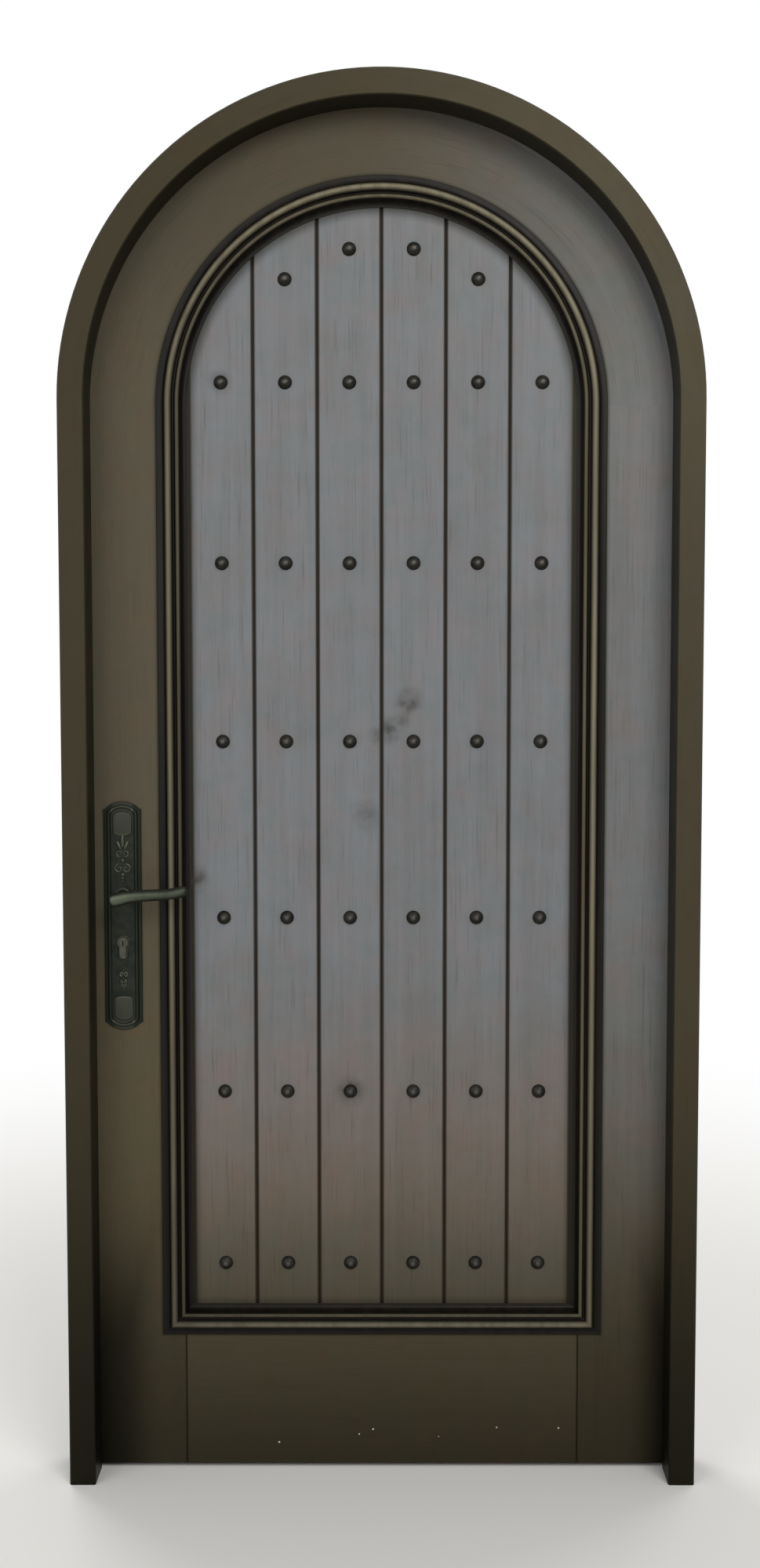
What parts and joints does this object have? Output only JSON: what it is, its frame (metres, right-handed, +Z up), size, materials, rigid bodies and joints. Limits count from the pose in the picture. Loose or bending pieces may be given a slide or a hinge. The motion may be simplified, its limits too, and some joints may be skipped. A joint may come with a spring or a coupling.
{
  "type": "mahogany door with frame",
  "caption": "Round-headed entrance door of upright studded boards in its arched wooden frame, with bolection moulding, lever handles and mortise lock.",
  "frame": {"origin": "on the floor, in the middle of the opening and of the leaf's thickness", "axes": "+X towards the hinges, +Y into the building, +Z up; someone outside looks along +Y"},
  "size_m": [0.97, 0.1648, 2.1519],
  "materials": {
    "stained_wood": "satin dark brown stain",
    "board_wood": "satin dark brown stain",
    "bead_wood": "satin dark brown stain",
    "dark_bronze": "dark patinated bronze",
    "stud_metal": "blackened iron",
    "steel": "brushed",
    "brass": "satin"
  },
  "bodies": {
    "frame": {"latch_jamb": "stained_wood", "hinge_jamb": "stained_wood", "head_arch": "stained_wood", "strike_plate": "steel", "strike_screws": "steel", "hinge_frame_leaves": "steel", "hinge_pins": "steel", "hinge_washers": "brass", "hinge_frame_screws": "steel"},
    "leaf": {"arched_rail": "stained_wood", "bottom_rail": "stained_wood", "cylinder_body": "brass", "cylinder_screw": "steel", "door_studs": "stud_metal", "forend_screws": "steel", "front_arch_moulding": "bead_wood", "front_bottom_moulding": "bead_wood", "front_hinge_side_moulding": "bead_wood", "front_latch_side_moulding": "bead_wood", "front_plate": "dark_bronze", "hinge_door_leaves": "steel", "hinge_door_screws": "steel", "hinge_stile": "stained_wood", "latch_stile": "stained_wood", "lock_case": "steel", "lock_cover": "steel", "lock_forend": "brass", "plank_1": "board_wood", "plank_2": "board_wood", "plank_3": "board_wood", "plank_4": "board_wood", "plank_5": "board_wood", "plank_6": "board_wood", "plate_bolts": "dark_bronze", "rear_arch_bead": "bead_wood", "rear_bottom_bead": "bead_wood", "rear_hinge_side_bead": "bead_wood", "rear_latch_side_bead": "bead_wood", "rear_plate": "dark_bronze"},
    "handle": {"front_lever": "dark_bronze", "rear_lever": "dark_bronze", "spindle": "steel", "lock_follower": "steel"},
    "latch_bolt": {"latch_bolt": "steel"},
    "deadbolt": {"deadbolt": "steel"},
    "outside_plug": {"front_plug": "brass"},
    "inside_plug": {"rear_plug": "brass"}
  },
  "joints": [
    {"name": "door_swing", "type": "hinge", "parent": "frame", "child": "leaf", "pos_m": [0.4585, 0.031, 0.93], "axis": [0, 0, -1], "range_deg": [0, 105]},
    {"name": "lever_turn", "type": "hinge", "parent": "leaf", "child": "handle", "pos_m": [-0.402, 0, 0.914], "axis": [0, 1, 0], "range_deg": [0, 40], "stiffness_Nm_per_rad": 1.2, "springref_deg": -28.65},
    {"name": "latch_slide", "type": "slide", "parent": "leaf", "child": "latch_bolt", "axis": [1, 0, 0], "range_m": [0, 0.012]},
    {"name": "key_turn", "type": "hinge", "parent": "leaf", "child": "outside_plug", "pos_m": [-0.402, 0, 0.842], "axis": [0, -1, 0], "range_deg": [0, 360]},
    {"name": "deadbolt_slide", "type": "slide", "parent": "leaf", "child": "deadbolt", "axis": [-1, 0, 0], "range_m": [0, 0.02]},
    {"name": "inside_key_turn", "type": "hinge", "parent": "leaf", "child": "inside_plug", "pos_m": [-0.402, 0, 0.842], "axis": [0, 1, 0], "range_deg": [0, 360]}
  ],
  "couplings": [
    {"joint": "latch_slide", "follows": "lever_turn", "m_per_rad": 0.017188},
    {"joint": "key_turn", "follows": "deadbolt_slide", "rad_per_m": 314.1}
  ]
}
